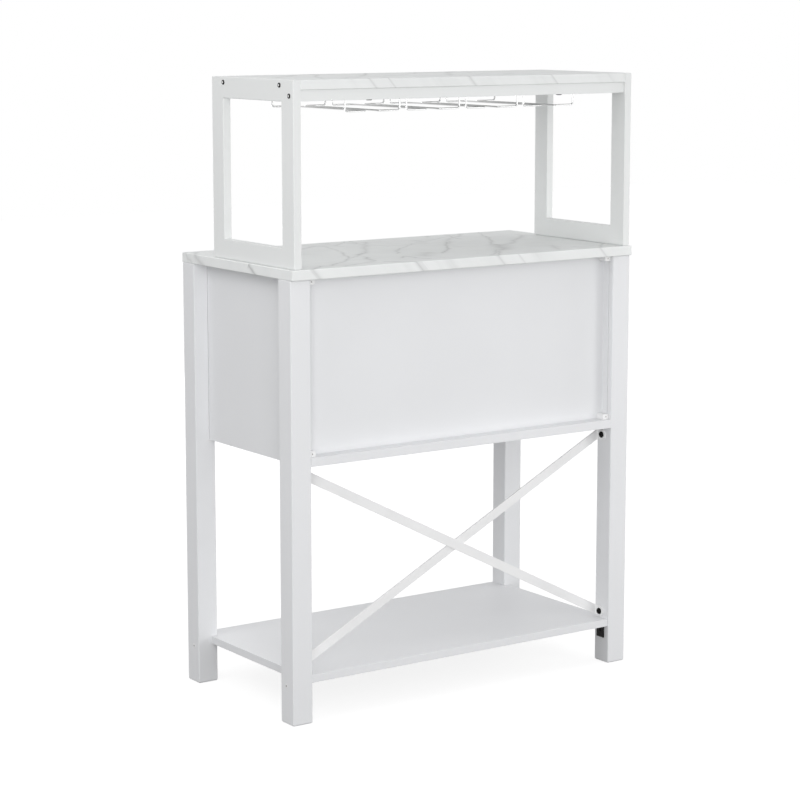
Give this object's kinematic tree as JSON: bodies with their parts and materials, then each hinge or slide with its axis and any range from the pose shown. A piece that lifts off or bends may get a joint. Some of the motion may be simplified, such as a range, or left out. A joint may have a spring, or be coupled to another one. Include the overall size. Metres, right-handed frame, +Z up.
{
  "type": "bar cabinet",
  "caption": "Free-standing white bar cabinet with marble-patterned tops, a cupboard with hinged doors, a low shelf, crossed back bars and wire rails for hanging glasses under an upper shelf.",
  "frame": {"origin": "middle of the bounding box at floor level", "axes": "+Z up, +X to the left of someone behind the cabinet, doors face -Y, back panel faces +Y"},
  "size_m": [0.75, 0.397, 1.12],
  "materials": {
    "white_board": "satin white paint",
    "marble_pattern": "white marble-patterned laminate with grey veins",
    "back_board": "smooth white hardboard",
    "white_steel": "white powder coat",
    "black_steel": "black coat",
    "wire": "bright chrome",
    "plated_steel": "nickel plated",
    "knob_metal": "satin chrome",
    "white_plastic": "moulded white plastic"
  },
  "bodies": {
    "base": {"back_panel": "back_board", "brace_falling": "white_steel", "brace_rising": "white_steel", "cabinet_bottom": "white_board", "glass_rail_1": "wire", "glass_rail_2": "wire", "glass_rail_3": "wire", "glass_rail_4": "wire", "hinge_fixed_leaf_lower_left": "plated_steel", "hinge_fixed_leaf_lower_right": "plated_steel", "hinge_fixed_leaf_upper_left": "plated_steel", "hinge_fixed_leaf_upper_right": "plated_steel", "leg_front_left": "white_board", "leg_front_right": "white_board", "leg_rear_left": "white_board", "leg_rear_right": "white_board", "low_shelf": "white_board", "magnetic_catch": "white_plastic", "panel_clip_lower_left": "white_plastic", "panel_clip_lower_right": "white_plastic", "panel_clip_upper_left": "white_plastic", "panel_clip_upper_right": "white_plastic", "rear_rail": "white_board", "shelf_bracket_front_left": "black_steel", "shelf_bracket_front_right": "black_steel", "shelf_bracket_rear_left": "black_steel", "shelf_bracket_rear_right": "black_steel", "side_frame_left": "white_board", "side_frame_right": "white_board", "side_panel_left": "white_board", "side_panel_right": "white_board", "table_top": "marble_pattern", "upper_shelf": "marble_pattern"},
    "door_left": {"door_left": "white_board", "hinge_moving_leaf_lower_left": "plated_steel", "hinge_moving_leaf_upper_left": "plated_steel", "knob_left": "knob_metal", "striker_left": "plated_steel"},
    "door_right": {"door_right": "white_board", "hinge_moving_leaf_lower_right": "plated_steel", "hinge_moving_leaf_upper_right": "plated_steel", "knob_right": "knob_metal", "striker_right": "plated_steel"}
  },
  "joints": [
    {"name": "door_left_hinge", "type": "hinge", "parent": "base", "child": "door_left", "pos_m": [0.334, -0.1778, 0.6275], "axis": [0, 0, 1], "range_deg": [0, 170]},
    {"name": "door_right_hinge", "type": "hinge", "parent": "base", "child": "door_right", "pos_m": [-0.334, -0.1778, 0.6275], "axis": [0, 0, -1], "range_deg": [0, 170]}
  ]
}
